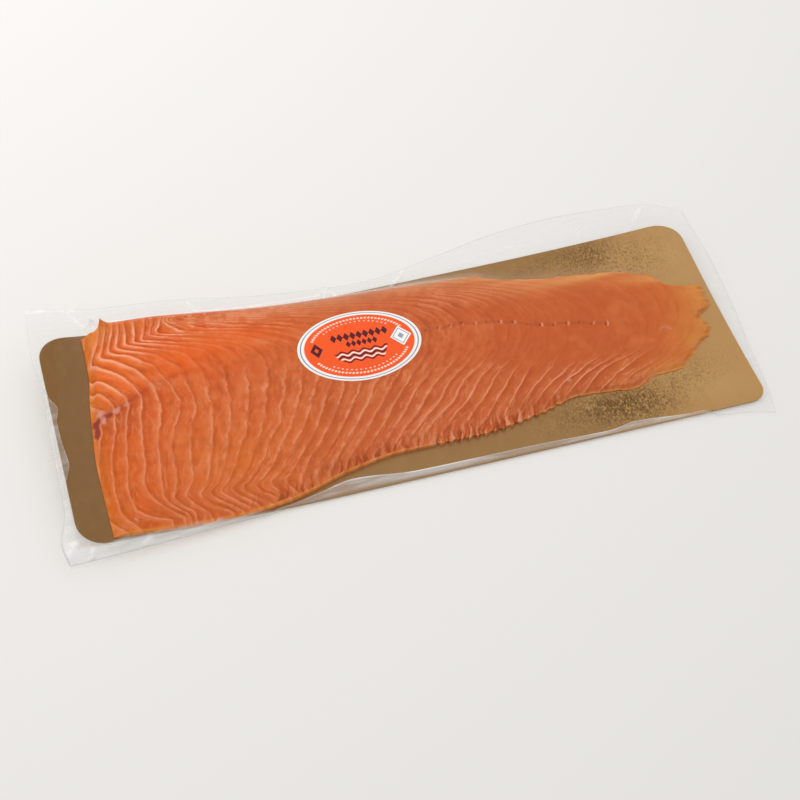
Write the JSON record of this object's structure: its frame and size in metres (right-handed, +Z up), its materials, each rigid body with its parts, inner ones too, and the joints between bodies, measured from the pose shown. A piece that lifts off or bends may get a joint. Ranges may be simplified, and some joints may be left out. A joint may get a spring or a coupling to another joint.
{
  "type": "vacuum-packed side of smoked salmon on a gold board",
  "caption": "Whole side of smoked salmon laid on a long gold card board, sealed in a tight clear film pouch with an oval label on top.",
  "frame": {"origin": "on the table, under the middle of the pack's bounding box", "axes": "+X along the board from the thick cut end to the tail, +Y from the belly edge to the back, +Z up"},
  "size_m": [0.6304, 0.2788, 0.0442],
  "materials": {
    "clear_film": "thin clear glossy film with wrinkles",
    "gold_foil_board": "gold foil laminate on card, satin, lightly grained",
    "smoked_flesh": "moist orange fish flesh with pale fat lines",
    "printed_label": "printed satin sticker, orange field with white border"
  },
  "bodies": {
    "root": {"film_pouch": "clear_film", "gold_board": "gold_foil_board", "salmon_side": "smoked_flesh", "label": "printed_label"}
  },
  "joints": []
}
